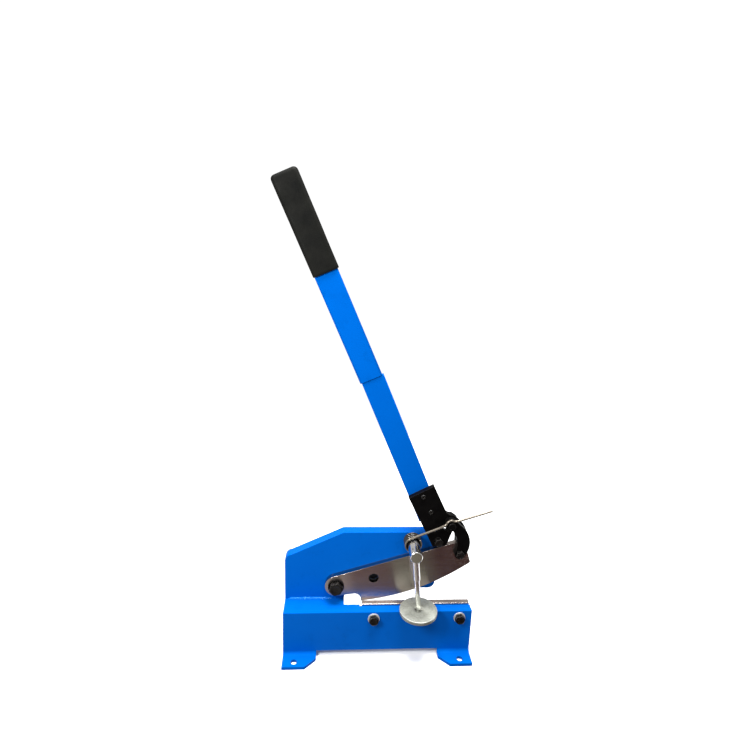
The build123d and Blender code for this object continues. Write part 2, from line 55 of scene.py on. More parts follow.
joint_place = {joint["name"]: joint.get("pos_m") for joint in frame["joints"]}

MM = 0.001
BAR_HOLE = (-6.8 * MM, 107.0 * MM)
ACROSS_BLADE = (-0.29, 0.0, 0.956)
ACROSS_JAW = (0, 1, 0)
SPRING_FRONT = -16 * MM  # the arm is painted black behind this, inside the spring, as painted shade
BAR_HOLE_WALL = 7.0 * MM  # just past the radius of the hole
ROUND = 64  # points round a turned piece
HEX_ROUND = 72  # points round a fastener, a multiple of six
FASTENER_EDGE = 0.12 * MM
CORNER_SLOPE = 0.52  # fall of a hexagon's chamfer for each millimetre outwards


# ---------------------------------------------------------------- camera

CAMERA_PLACE = Vector((-0.0591, -0.6114, 0.5414))
CAMERA_YAW = radians(4.163)
CAMERA_PITCH = radians(13.595)
CAMERA_ROLL = radians(2.099)
CAMERA_LENS = 24.0


def make_camera():
    data = bpy.data.cameras.new("camera")
    data.lens = CAMERA_LENS
    data.sensor_width = 36.0
    data.clip_start = 0.01
    camera = bpy.data.objects.new("camera", data)
    bpy.context.scene.collection.objects.link(camera)
    flat = cos(CAMERA_PITCH)
    forward = Vector((sin(CAMERA_YAW) * flat, cos(CAMERA_YAW) * flat, -sin(CAMERA_PITCH)))
    level = Vector((cos(CAMERA_YAW), -sin(CAMERA_YAW), 0))
    upright = level.cross(forward)
    right = level * cos(CAMERA_ROLL) + upright * sin(CAMERA_ROLL)
    up = upright * cos(CAMERA_ROLL) - level * sin(CAMERA_ROLL)
    turn = Matrix((right, up, -forward)).transposed()
    camera.matrix_world = Matrix.Translation(CAMERA_PLACE) @ turn.to_4x4()
    bpy.context.scene.camera = camera


# ---------------------------------------------------------------- shader shorthand


class Shader:
    """A Principled material and short ways to add the nodes that feed it."""

    def __init__(self, name, **sockets):
        self.material = bpy.data.materials.new(name)
        self.material.use_nodes = True
        self.tree = self.material.node_tree
        self.surface = self.tree.nodes["Principled BSDF"]
        self.place = self.node("ShaderNodeTexCoord").outputs["Object"]
        for socket, value in sockets.items():
            self.surface.inputs[socket.replace("_", " ")].default_value = value

    def node(self, kind, **settings):
        made = self.tree.nodes.new(kind)
        for key, value in settings.items():
            setattr(made, key, value)
        return made

    def feed(self, socket, source):
        """Links a source, or sets a number or colour, on an input socket."""
        if isinstance(source, bpy.types.NodeSocket):
            self.tree.links.new(source, socket)
        else:
            socket.default_value = source

    def into(self, name, source):
        self.feed(self.surface.inputs[name], source)

    def stretched(self, scale, turn=(0, 0, 0), move=(0, 0, 0)):
        mapping = self.node("ShaderNodeMapping")
        self.feed(mapping.inputs["Vector"], self.place)
        mapping.inputs["Scale"].default_value = scale
        mapping.inputs["Rotation"].default_value = turn
        mapping.inputs["Location"].default_value = move
        return mapping.outputs["Vector"]

    def noise(self, scale, detail=3.0, roughness=0.5, vector=None):
        made = self.node("ShaderNodeTexNoise")
        self.feed(made.inputs["Vector"], vector or self.place)
        made.inputs["Scale"].default_value = scale
        made.inputs["Detail"].default_value = detail
        made.inputs["Roughness"].default_value = roughness
        return made.outputs["Fac"]

    def ramp(self, source, stops):
        """stops is a list of (position, value or colour)."""
        made = self.node("ShaderNodeValToRGB")
        self.feed(made.inputs["Fac"], source)
        elements = made.color_ramp.elements
        while len(elements) < len(stops):
            elements.new(0.5)
        for element, (position, value) in zip(elements, stops):
            element.position = position
            grey = (value, value, value, 1)
            element.color = (*value, 1) if isinstance(value, tuple) else grey
        return made.outputs["Color"]

    def mix(self, factor, first, second, blend="MIX"):
        made = self.node("ShaderNodeMix", data_type="RGBA", blend_type=blend)
        self.feed(made.inputs[0], factor)
        for socket, value in ((made.inputs[6], first), (made.inputs[7], second)):
            self.feed(socket, (*value, 1) if isinstance(value, tuple) else value)
        return made.outputs[2]

    def sum(self, first, second, operation="ADD"):
        made = self.node("ShaderNodeMath", operation=operation)
        self.feed(made.inputs[0], first)
        self.feed(made.inputs[1], second)
        return made.outputs[0]

    def axis(self, name):
        """One coordinate of the point being shaded."""
        split = self.node("ShaderNodeSeparateXYZ")
        self.feed(split.inputs[0], self.place)
        return split.outputs[name]

    def hollow(self, distance, low, high):
        """1 deep between pieces and 0 in the open, from ambient occlusion; the wire materials use it for painted
        shade.
        """
        shade = self.node("ShaderNodeAmbientOcclusion", samples=8)
        shade.inputs["Distance"].default_value = distance
        return self.ramp(shade.outputs["AO"], [(low, 1.0), (high, 0.0)])

    def bump(self, height, distance, strength=1.0):
        made = self.node("ShaderNodeBump")
        self.feed(made.inputs["Height"], height)
        made.inputs["Distance"].default_value = distance
        made.inputs["Strength"].default_value = strength
        self.into("Normal", made.outputs["Normal"])

    def bar_hole_shade_mask(self):
        """1 in the hole for round bar and 0 elsewhere: a mask for painted shade that turns the hole's wall black.
        """
        away = self.node("ShaderNodeVectorMath", operation="SUBTRACT")
        self.feed(away.inputs[0], self.place)
        away.inputs[1].default_value = (BAR_HOLE[0], 0, BAR_HOLE[1])
        flat = self.node("ShaderNodeVectorMath", operation="MULTIPLY")
        self.feed(flat.inputs[0], away.outputs[0])
        flat.inputs[1].default_value = (1, 0, 1)
        reach = self.node("ShaderNodeVectorMath", operation="LENGTH")
        self.feed(reach.inputs[0], flat.outputs[0])
        return self.sum(reach.outputs["Value"], BAR_HOLE_WALL, "LESS_THAN")

    def edges(self, radius, low=0.004, high=0.05):
        """1 on sharp outer and inner edges, 0 on flat faces."""
        rounded = self.node("ShaderNodeBevel", samples=4)
        rounded.inputs["Radius"].default_value = radius
        facing = self.node("ShaderNodeNewGeometry")
        compare = self.node("ShaderNodeVectorMath", operation="DOT_PRODUCT")
        self.feed(compare.inputs[0], rounded.outputs["Normal"])
        self.feed(compare.inputs[1], facing.outputs["Normal"])
        turned = self.sum(1.0, compare.outputs["Value"], "SUBTRACT")
        return self.ramp(turned, [(low, 0.0), (high, 1.0)])


# ---------------------------------------------------------------- materials


def blue_paint():
    """Glossy powder coat: an even saturated blue with orange peel, and edges painted brighter: partly thinner
    paint, partly a painted highlight.
    """
    s = Shader("blue_paint", Specular_IOR_Level=0.07, Specular_Tint=(0.02, 0.3, 1.0, 1.0))
    cloud = s.noise(14, 4, 0.6)
    paint = s.mix(cloud, (0.0, 0.082, 0.400), (0.0, 0.102, 0.470))
    grime = s.ramp(s.noise(60, 8, 0.7), [(0.25, 0.84), (0.45, 1.0)])
    paint = s.mix(1.0, paint, grime, "MULTIPLY")
    # edges painted brighter blue: partly thin paint, partly a painted highlight along the edge
    thin_paint_and_highlight = s.mix(s.edges(0.7 * MM), paint, (0.0, 0.13, 0.58))
    # painted shade: the wall of the hole for round bar is painted near black
    s.into("Base Color", s.mix(s.bar_hole_shade_mask(), thin_paint_and_highlight, (0.0015, 0.0015, 0.003)))
    s.into("Roughness", s.ramp(s.noise(35, 3), [(0.3, 0.36), (0.7, 0.5)]))
    s.bump(s.noise(900, 2, 0.5), 0.00012, 0.35)
    return s.material


def ground(name, across):
    """Tool steel ground square to the direction across, with a thin uneven film of oil."""
    s = Shader(name, Metallic=1.0, Anisotropic=0.88)
    turn = s.node("ShaderNodeVectorTransform", vector_type="VECTOR")
    turn.convert_from = "OBJECT"
    turn.convert_to = "WORLD"
    turn.inputs[0].default_value = across
    s.into("Tangent", turn.outputs[0])
    grinding = s.noise(40, 4, 0.6, s.stretched((1.0, 1, 22)))
    film = s.noise(22, 4, 0.55)
    tint = s.ramp(film, [(0.25, (0.38, 0.31, 0.29)), (0.5, (0.44, 0.38, 0.35)), (0.75, (0.40, 0.38, 0.34))])
    lines = s.ramp(grinding, [(0.3, 0.90), (0.7, 1.0)])
    colour = s.mix(1.0, tint, lines, "MULTIPLY")
    # painted highlight: the edges are painted pale, as if they caught the light
    edge_highlight = s.sum(s.edges(0.4 * MM), 0.15, "MULTIPLY")
    colour = s.mix(edge_highlight, colour, (0.82, 0.80, 0.77))
    # painted shade: the wall of the hole for round bar is painted near black
    s.into("Base Color", s.mix(s.bar_hole_shade_mask(), colour, (0.003, 0.003, 0.003)))
    s.into("Roughness", s.ramp(grinding, [(0.25, 0.21), (0.75, 0.26)]))
    s.bump(grinding, 0.00001, 0.3)
    return s.material


def ground_steel():
    """The moving blade, ground along its length."""
    return ground("ground_steel", ACROSS_BLADE)


def jaw_steel():
    """The fixed blade, ground along its length on its level top."""
    return ground("jaw_steel", ACROSS_JAW)


def black_oxide():
    """Blackened steel with a few scuffs, painted a little lighter on its edges: partly rubbed edges, partly a
    painted highlight.
    """
    s = Shader("black_oxide", Specular_IOR_Level=0.08)
    cloud = s.noise(90, 5, 0.6)
    colour = s.mix(cloud, (0.0008, 0.0008, 0.0010), (0.0026, 0.0023, 0.0021))
    scuffs = s.ramp(s.noise(300, 6, 0.7), [(0.64, 0.0), (0.74, 1.0)])
    colour = s.mix(scuffs, colour, (0.010, 0.009, 0.008))
    # edges painted lighter: partly rubbed edges, partly a painted highlight
    colour = s.mix(s.edges(0.3 * MM), colour, (0.035, 0.030, 0.027))
    s.into("Base Color", colour)
    s.into("Roughness", s.ramp(cloud, [(0.3, 0.34), (0.7, 0.52)]))
    s.bump(s.noise(700, 4, 0.6), 0.00005, 0.4)
    return s.material


def black_screws():
    """Blackened fasteners: slightly glossy heads, with corners and edges painted lighter as a painted highlight.
    """
    s = Shader("black_screws", Specular_IOR_Level=0.32)
    cloud = s.noise(240, 5, 0.6)
    colour = s.mix(cloud, (0.0015, 0.0015, 0.0015), (0.006, 0.0055, 0.005))
    # painted highlight: corners and edges of the heads are painted light grey
    s.into("Base Color", s.mix(s.edges(0.35 * MM), colour, (0.10, 0.090, 0.080)))
    s.into("Roughness", s.ramp(cloud, [(0.3, 0.22), (0.7, 0.36)]))
    s.bump(s.noise(900, 4, 0.6), 0.00003, 0.4)
    return s.material


def painted_weld():
    """Weld under blue paint: glossier than the sheet, with light blue spots painted on as painted glints."""
    s = Shader("painted_weld", Specular_IOR_Level=0.5, Specular_Tint=(0.35, 0.7, 1.0, 1.0))
    paint = s.mix(s.noise(60, 4), (0.0, 0.095, 0.44), (0.0, 0.13, 0.56))
    # painted highlight: light blue spots on the bead stand in for glints
    painted_glints = s.ramp(s.noise(420, 5, 0.6), [(0.60, 0.0), (0.66, 1.0)])
    s.into("Base Color", s.mix(painted_glints, paint, (0.10, 0.36, 0.80)))
    s.into("Roughness", s.ramp(s.noise(200, 3), [(0.3, 0.10), (0.7, 0.28)]))
    s.bump(s.noise(520, 4, 0.6), 0.0002, 0.5)
    return s.material


def zinc_hardware():
    """Bright zinc on washers and nuts, with small cloudy patches."""
    s = Shader("zinc_hardware", Metallic=0.5, Specular_IOR_Level=0.4)
    cloud = s.noise(220, 5, 0.6)
    s.into("Base Color", s.mix(cloud, (0.56, 0.54, 0.52), (0.72, 0.70, 0.68)))
    s.into("Roughness", s.ramp(cloud, [(0.3, 0.24), (0.7, 0.42)]))
    s.bump(s.noise(1200, 3), 0.00003, 0.5)
    return s.material


def spring_wire():
    """Drawn spring wire, bronze-grey in the open and painted black close to other pieces as painted shade."""
    s = Shader("spring_wire", Metallic=0.55, Specular_IOR_Level=0.5)
    cloud = s.noise(140, 3, 0.5)
    colour = s.mix(cloud, (0.13, 0.110, 0.085), (0.20, 0.175, 0.140))
    # painted shade: the wire is painted black where ambient occlusion finds other pieces close by
    s.into("Base Color", s.mix(s.hollow(5 * MM, 0.55, 0.85), colour, (0.004, 0.004, 0.004)))
    s.into("Roughness", s.ramp(cloud, [(0.3, 0.22), (0.7, 0.30)]))
    s.bump(s.noise(1500, 3, 0.5), 0.00001, 0.4)
    return s.material


def shaded_coil_wire():
    """The coil itself: the spring wire painted near black as painted shade, and black in the gaps between turns as
    painted shade, so that only thin lines on its turns shine.
    """
    s = Shader("shaded_coil_wire", Metallic=0.2, Specular_IOR_Level=0.6)
    cloud = s.noise(200, 3, 0.5)
    colour = s.mix(cloud, (0.020, 0.017, 0.014), (0.045, 0.038, 0.031))
    # painted shade: a far darker copy of the spring wire, black where the turns crowd each other
    s.into("Base Color", s.mix(s.hollow(4 * MM, 0.5, 0.8), colour, (0.002, 0.002, 0.002)))
    s.into("Roughness", s.ramp(cloud, [(0.3, 0.14), (0.7, 0.22)]))
    return s.material


def bright_steel():
    """Turned and plated steel with faint tool marks, painted dark where the spring covers it, as painted shade."""
    s = Shader("bright_steel", Metallic=1.0)
    cloud = s.noise(160, 5, 0.6)
    colour = s.mix(cloud, (0.74, 0.735, 0.71), (0.92, 0.915, 0.90))
    # painted shade: the arm is painted near black behind the front of the spring
    shaded_in_spring = s.sum(s.axis("Y"), SPRING_FRONT, "GREATER_THAN")
    s.into("Base Color", s.mix(shaded_in_spring, colour, (0.012, 0.011, 0.010)))
    s.into("Roughness", s.ramp(s.noise(90, 4), [(0.3, 0.16), (0.7, 0.26)]))
    s.bump(s.noise(700, 3, 0.5, s.stretched((1, 6, 1))), 0.00002, 0.4)
    return s.material


def zinc_disc():
    """Faced disc: concentric tool marks under mottled grey-green zinc."""
    s = Shader("zinc_disc", Metallic=0.55, Anisotropic=0.6, Specular_IOR_Level=0.4)
    low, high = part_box("hold_down_disc")
    centre = (low + high) / 2
    around = s.node("ShaderNodeTangent", direction_type="RADIAL", axis="Z")
    s.into("Tangent", around.outputs["Tangent"])
    mottle = s.ramp(s.noise(330, 7, 0.72), [(0.32, 0.0), (0.68, 1.0)])
    colour = s.mix(mottle, (0.23, 0.240, 0.205), (0.40, 0.41, 0.365))
    stain = s.ramp(s.noise(90, 4, 0.6), [(0.3, 0.78), (0.6, 1.0)])
    colour = s.mix(1.0, colour, stain, "MULTIPLY")
    # painted highlight: the disc's edges are painted pale
    s.into("Base Color", s.mix(s.edges(0.6 * MM), colour, (0.72, 0.72, 0.68)))
    s.into("Roughness", s.ramp(mottle, [(0.0, 0.46), (1.0, 0.34)]))
    rings = s.node("ShaderNodeTexWave", wave_type="RINGS", rings_direction="Z")
    s.feed(rings.inputs["Vector"], s.stretched((1, 1, 1), move=(-centre.x, -centre.y, 0)))
    rings.inputs["Scale"].default_value = 420
    rings.inputs["Distortion"].default_value = 0.6
    s.bump(rings.outputs["Fac"], 0.00003, 0.6)
    return s.material


def grip_rubber():
    """Dipped vinyl grip: matt, faintly mottled, with a fine pebble."""
    s = Shader("grip_rubber", Specular_IOR_Level=0.08)
    cloud = s.noise(45, 6, 0.65)
    patches = s.ramp(cloud, [(0.3, 0.0), (0.7, 1.0)])
    s.into("Base Color", s.mix(patches, (0.0022, 0.0024, 0.0021), (0.0075, 0.0075, 0.0060)))
    s.into("Roughness", s.ramp(s.noise(80, 4), [(0.3, 0.52), (0.7, 0.72)]))
    pebble = s.noise(1500, 3, 0.6)
    creases = s.noise(160, 5, 0.7, s.stretched((1, 1, 0.4)))
    s.bump(s.sum(pebble, creases), 0.00018, 0.5)
    return s.material


MATERIALS = {
    maker.__name__: maker()
    for maker in (
        blue_paint,
        ground_steel,
        jaw_steel,
        black_oxide,
        black_screws,
        painted_weld,
        zinc_hardware,
        spring_wire,
        shaded_coil_wire,
        bright_steel,
        zinc_disc,
        grip_rubber,
    )
}


# ---------------------------------------------------------------- CAD pieces that stay

FINISH_OF_NODE = {
    "fixed_blade": "jaw_steel",
    "blade_pivot_washer": "black_oxide",
    "lever_pivot_washer": "black_oxide",
    "link_upper_clip": "black_oxide",
}

EDGE_WIDTH = {
    "blue_paint": 0.55 * MM,
    "ground_steel": 0.25 * MM,
    "black_oxide": 0.3 * MM,
    "bright_steel": 0.2 * MM,
    "zinc_hardware": 0.15 * MM,
}


def dress(node):
    """Gives a CAD node its finish, named by FINISH_OF_NODE or else by its record slot, and breaks its sharp edges.
    """
    piece = nodes[node]
    slot = slot_of_node[node]
    piece.data.materials.clear()
    piece.data.materials.append(MATERIALS[FINISH_OF_NODE.get(node, slot)])
    weld = piece.modifiers.new("weld", "WELD")
    weld.merge_threshold = 0.002 * MM
    bevel = piece.modifiers.new("edges", "BEVEL")
    bevel.width = EDGE_WIDTH.get(slot, 0.2 * MM)
    bevel.segments = 3
    bevel.limit_method = "ANGLE"
    bevel.angle_limit = radians(40)
    bevel.harden_normals = True
    bevel.miter_outer = "MITER_ARC"


# ---------------------------------------------------------------- mesh makers


def add_piece(name, points, faces, stands_for, finish=None, slot=None):
    """A smooth mesh that rides on the body of the CAD node it stands for. finish names its material, where that
    isn't the node's own; slot, the node's record slot by default, names it when no finish is given."""
    mesh = bpy.data.meshes.new(name)
    mesh.from_pydata([tuple(p) for p in points], [], faces)
    mesh.validate()
    mesh.polygons.foreach_set("use_smooth", [True] * len(mesh.polygons))
    mesh.set_sharp_from_angle(angle=radians(38))
    piece = bpy.data.objects.new(name, mesh)
    bpy.context.scene.collection.objects.link(piece)
    slot = slot or slot_of_node[stands_for]
    mesh.materials.append(MATERIALS[finish or slot])
    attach(piece, body_of_node[stands_for])
    return piece


def soften(piece, width):
    bevel = piece.modifiers.new("edges", "BEVEL")
    bevel.width = width
    bevel.segments = 2
    bevel.limit_method = "ANGLE"
    bevel.angle_limit = radians(50)
    bevel.harden_normals = True


def at_angle(value, angle):
    return value(angle) if callable(value) else value


def skin(rings, count, hollow=False):
    """Faces between rings of count points each, with a flat face on both ends, or the last ring joined
    to the first when hollow."""
    last = (rings - 1) * count
    faces = [] if hollow else [tuple(range(count))[::-1], tuple(range(last, last + count))]
    for row in range(rings if hollow else rings - 1):
        first = row * count
        second = (row + 1) % rings * count
        for index in range(count):
            after = (index + 1) % count
            faces.append((first + index, first + after, second + after, second + index))
    return faces


def turned(rings, origin, along, side, count=ROUND, hollow=False):
    """Points and faces of a closed skin. A ring is (radius, distance along the axis); either may be a
    function of the angle. The first and last rings are closed with a flat face, or joined to each
    other when the piece is hollow."""
    other = along.cross(side)
    points = []
    for radius, distance in rings:
        for index in range(count):
            angle = tau * index / count
            spoke = side * cos(angle) + other * sin(angle)
            points.append(origin + spoke * at_angle(radius, angle) + along * at_angle(distance, angle))
    return points, skin(len(rings), count, hollow)


def hexagon(across_flats):
    """Radius of a hexagon at an angle."""
    return lambda angle: across_flats / 2 / cos((angle % (pi / 3)) - pi / 6)


THREAD_STEPS = 6


def thread(crest, depth, pitch, start, end):
    """Rings of a helical thread whose ends run out into the crest."""
    rings = []
    steps = max(2, round((end - start) / pitch * THREAD_STEPS))
    for step in range(steps + 1):
        distance = start + (end - start) * step / steps
        fade = min(1.0, min(distance - start, end - distance) / pitch)

        def radius(angle, distance=distance, fade=fade):
            phase = (distance / pitch - angle / tau) % 1.0
            return crest - depth * fade * abs(2 * phase - 1)

        rings.append((radius, distance))
    return rings


def hex_head(across_flats, seat, height):
    """Rings from the seat to the middle of a chamfered hexagon head."""
    outline = hexagon(across_flats)
    flat = across_flats / 2 * 0.93

    def shoulder(angle):
        return seat + height - (outline(angle) - flat) * CORNER_SLOPE

    dish = flat * 0.82
    return [
        (outline, seat),
        (outline, shoulder),
        (flat, seat + height),
        (dish, seat + height),
        (dish * 0.9, seat + height - 0.25 * MM),
        (dish * 0.3, seat + height - 0.3 * MM),
    ]


FRONTWARDS = Vector((0, -1, 0))
BOLT_SIDE = Vector((0.97, 0, 0.24)).normalized()


def hex_bolt(name, node, centre, across_flats, shank, pitch, head, turn=BOLT_SIDE):
    """A bolt with its head to the front and a threaded tail to the rear. centre is (x, z)."""
    low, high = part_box(node)
    origin = Vector((centre[0], high.y, centre[1]))
    length = high.y - low.y - head
    rings = [(shank - 0.8 * MM, 0), (shank - 0.1 * MM, 0.7 * MM)]
    rings += thread(shank, 0.55 * pitch, pitch, 0.8 * MM, length * 0.75)
    rings += [(shank, length)]
    rings += hex_head(across_flats, length, head)
    points, faces = turned(rings, origin, FRONTWARDS, turn, HEX_ROUND)
    piece = add_piece(name, points, faces, node, "black_screws", "black_oxide")
    soften(piece, FASTENER_EDGE)
    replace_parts(piece, node)


def hex_nut(name, node, centre, across_flats, bore, turn=BOLT_SIDE):
    """A nut chamfered on both ends. centre is (x, z)."""
    low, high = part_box(node)
    height = high.y - low.y
    outline = hexagon(across_flats)
    flat = across_flats / 2 * 0.94

    def inset(angle):
        return (outline(angle) - flat) * CORNER_SLOPE

    rings = [
        (bore, 0.6 * MM),
        (bore + 0.6 * MM, 0),
        (flat, 0),
        (outline, inset),
        (outline, lambda angle: height - inset(angle)),
        (flat, height),
        (bore + 0.6 * MM, height),
        (bore, height - 0.6 * MM),
    ]
    origin = Vector((centre[0], high.y, centre[1]))
    points, faces = turned(rings, origin, FRONTWARDS, turn, HEX_ROUND)
    piece = add_piece(name, points, faces, node)
    soften(piece, FASTENER_EDGE)
    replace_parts(piece, node)


def tube_along(path, radius, count=16):
    """Points and faces of a round wire along a list of points, its ends domed."""
    rings = []
    side = Vector((0, 1, 0))
    for index, here in enumerate(path):
        before = path[max(index - 1, 0)]
        after = path[min(index + 1, len(path) - 1)]
        along = (after - before).normalized()
        side = (side - along * side.dot(along)).normalized()
        rings.append((here, along, side.copy()))
    first, last = rings[0], rings[-1]
    cap = [(0.35, 0.94), (0.75, 0.66), (0.95, 0.3)]
    start = [(first[0] - first[1] * radius * out, first[1], first[2], wide) for wide, out in cap]
    end = [(last[0] + last[1] * radius * out, last[1], last[2], wide) for wide, out in reversed(cap)]
    full = start + [(*ring, 1.0) for ring in rings] + end
    points = []
    for here, along, side, wide in full:
        other = along.cross(side)
        for index in range(count):
            angle = tau * index / count
            points.append(here + (side * cos(angle) + other * sin(angle)) * radius * wide)
    return points, skin(len(full), count)


# ---------------------------------------------------------------- fasteners


def seen_centre(node):
    low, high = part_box(node)
    middle = (low + high) / 2
    return middle.x, middle.z


def pair_centres(node):
    """Centres of two round pieces that share a node, side by side."""
    low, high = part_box(node)
    radius = (high.z - low.z) / 2
    return [(low.x + radius, low.z + radius), (high.x - radius, low.z + radius)]


def join(skins):
    """Points and faces of several skins as one."""
    points = []
    faces = []
    for skin_points, skin_faces in skins:
        faces += [tuple(index + len(points) for index in face) for face in skin_faces]
        points += skin_points
    return points, faces


BLADE_BOLT_HEAD = 5.5 * MM


def blade_bolts():
    low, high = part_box("fixed_blade_bolts")
    length = high.y - low.y - BLADE_BOLT_HEAD
    skins = []
    for x, z in pair_centres("fixed_blade_washers"):
        rings = [(3.2 * MM, 0), (3.9 * MM, 0.7 * MM)]
        rings += thread(4 * MM, 0.6 * MM, 1.25 * MM, 0.8 * MM, length * 0.8)
        rings += [(4 * MM, length)]
        rings += hex_head(12 * MM, length, BLADE_BOLT_HEAD)
        skins.append(turned(rings, Vector((x, high.y, z)), FRONTWARDS, BOLT_SIDE, HEX_ROUND))
    points, faces = join(skins)
    piece = add_piece("fixed_blade_screws", points, faces, "fixed_blade_bolts", "black_screws", "black_oxide")
    soften(piece, FASTENER_EDGE)
    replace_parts(piece, "fixed_blade_bolts")


LEVER_TILT = radians(24.3)
LEVER_SIDE = Vector((cos(LEVER_TILT), 0, sin(LEVER_TILT)))
LEVER_UP = Vector((-sin(LEVER_TILT), 0, cos(LEVER_TILT)))
LEVER_PIVOT = Vector(joint_place["lever_pivot"])
LUG_SCREWS = [(4.9 * MM, 70.2 * MM), (6.2 * MM, 45.3 * MM)]
SCREW_HEAD = 1.6 * MM
SCREW_RADIUS = 3.4 * MM


def lug_centres():
    return [LEVER_PIVOT + LEVER_SIDE * across + LEVER_UP * up for across, up in LUG_SCREWS]


def lug_screws():
    """Button-head socket screws through the lug and the handle bar."""
    low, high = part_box("lug_bolts")
    length = high.y - low.y - SCREW_HEAD
    skins = []
    for centre in lug_centres():
        rings = [(2.4 * MM, 0), (2.9 * MM, 0.5 * MM)]
        rings += thread(3 * MM, 0.5 * MM, MM, 0.6 * MM, length * 0.6)
        rings += [(3 * MM, length), (SCREW_RADIUS, length), (SCREW_RADIUS, length + 0.5 * MM)]
        for step in range(1, 6):
            angle = radians(12 * step)
            rise = 0.5 * MM + (SCREW_HEAD - 0.5 * MM) * sin(angle) / sin(radians(60))
            rings.append((SCREW_RADIUS * (0.55 + 0.45 * cos(angle)), length + rise))
        rings += [
            (2.0 * MM, length + SCREW_HEAD),
            (hexagon(3 * MM), length + SCREW_HEAD - 0.2 * MM),
            (hexagon(2.9 * MM), length + SCREW_HEAD - 1.4 * MM),
            (0.4 * MM, length + SCREW_HEAD - 1.6 * MM),
        ]
        origin = Vector((centre.x, high.y, centre.z))
        skins.append(turned(rings, origin, FRONTWARDS, BOLT_SIDE, HEX_ROUND))
    points, faces = join(skins)
    piece = add_piece("lug_screws", points, faces, "lug_bolts", "black_screws", "black_oxide")
    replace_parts(piece, "lug_bolts")


def lug_screw_nuts():
    low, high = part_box("lug_nuts")
    height = high.y - low.y
    outline = hexagon(10 * MM)
    skins = []
    for centre in lug_centres():
        rings = [
            (3.1 * MM, 0.5 * MM),
            (3.6 * MM, 0),
            (4.7 * MM, 0),
            (outline, lambda angle: (outline(angle) - 4.7 * MM) * CORNER_SLOPE),
            (outline, height),
            (3.1 * MM, height),
        ]
        origin = Vector((centre.x, high.y, centre.z))
        skins.append(turned(rings, origin, FRONTWARDS, BOLT_SIDE, HEX_ROUND))
    points, faces = join(skins)
    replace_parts(add_piece("lug_screw_nuts", points, faces, "lug_nuts"), "lug_nuts")


def pivot_fasteners():
    blade = seen_centre("blade_pivot_nut")
    lever = seen_centre("lever_pivot_nut")
    link = seen_centre("link_lower_nut")
    arm = seen_centre("hold_down_arm_nut")
    hex_bolt("blade_pivot_screw", "blade_pivot_bolt", blade, 17 * MM, 5 * MM, 1.5 * MM, 6.4 * MM)
    hex_bolt("lever_pivot_screw", "lever_pivot_bolt", lever, 10 * MM, 3 * MM, MM, 4 * MM)
    hex_bolt("link_screw", "link_lower_bolt", link, 10 * MM, 3 * MM, MM, 4 * MM)
    hex_nut("blade_pivot_hexnut", "blade_pivot_nut", blade, 17 * MM, 5.05 * MM)
    hex_nut("lever_pivot_hexnut", "lever_pivot_nut", lever, 10 * MM, 3.05 * MM)
    hex_nut("link_hexnut", "link_lower_nut", link, 10 * MM, 3.05 * MM)
    hex_nut("arm_hexnut", "hold_down_arm_nut", arm, 10 * MM, 3.05 * MM)


# ---------------------------------------------------------------- welds

RIPPLE = 1.9 * MM


def weld_bead(name, node, start, end, across, up):
    """A rippled fillet bead in the corner from start to end, open towards across and up."""
    run = end - start
    along = run.normalized()
    steps = int(run.length / (RIPPLE / 6))
    rows = 12
    points = []
    for step in range(steps + 1):
        travel = run.length * step / steps
        taper = min(1.0, 0.35 + 0.65 * min(travel, run.length - travel) / (2.5 * MM))
        wander = 1 + 0.14 * noise.noise(Vector((travel * 160, 0.3, 1.7)))
        points.append(start + along * travel - (across + up) * 0.3 * MM)
        for row in range(rows):
            angle = pi / 2 * row / (rows - 1)
            lag = 0.45 * (1 - sin(2 * angle))
            ripple = abs(sin(pi * (travel / RIPPLE + lag)))
            reach = 2.6 * MM * taper * wander * (0.80 + 0.16 * ripple)
            points.append(start + along * travel + (across * cos(angle) + up * sin(angle)) * reach)
    faces = skin(steps + 1, rows + 1)
    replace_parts(add_piece(name, points, faces, node, "painted_weld"), node)


def welds():
    low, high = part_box("plate_weld")
    weld_bead(
        "plate_bead",
        "plate_weld",
        Vector((low.x, high.y, low.z)),
        Vector((high.x, high.y, low.z)),
        Vector((0, -1, 0)),
        Vector((0, 0, 1)),
    )
    low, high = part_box("block_weld")
    weld_bead(
        "block_bead",
        "block_weld",
        Vector((low.x, low.y, low.z)),
        Vector((low.x, low.y, high.z)),
        Vector((1, 0, 0)),
        Vector((0, 1, 0)),
    )


# ---------------------------------------------------------------- spring and latch wire

WIRE_RADIUS = 1.5 * MM
COIL_WIRE_RADIUS = 1.4 * MM
COIL_RADIUS = 10.5 * MM
COIL_TURNS = 3
ARM_AXIS = Vector(joint_place["latch_lift"])
LEG_TURN_END = radians(112.3)
LEG_TURN = radians(280)
PIN_X, PIN_Z = seen_centre("link_upper_pin")
LATCH_PIN = Vector((PIN_X, 0, PIN_Z))


def helix(start_angle, sweep, start_y, end_y, steps):
    """Points of a coil about the arm's axis, angles seen from the front."""
    points = []
    for step in range(steps + 1):
        share = step / steps
        angle = start_angle + sweep * share
        spoke = Vector((cos(angle), 0, sin(angle))) * COIL_RADIUS
        points.append(Vector((ARM_AXIS.x, start_y + (end_y - start_y) * share, ARM_AXIS.z)) + spoke)
    return points


def smooth_corners(corners, share=0.42, steps=7):
    """A route through corner points, each corner replaced by a parabola."""
    path = [corners[0]]
    for before, corner, after in zip(corners, corners[1:], corners[2:]):
        start = corner.lerp(before, share)
        end = corner.lerp(after, share)
        for step in range(steps + 1):
            t = step / steps
            path.append(start.lerp(corner, t).lerp(corner.lerp(end, t), t))
    path.append(corners[-1])
    return path


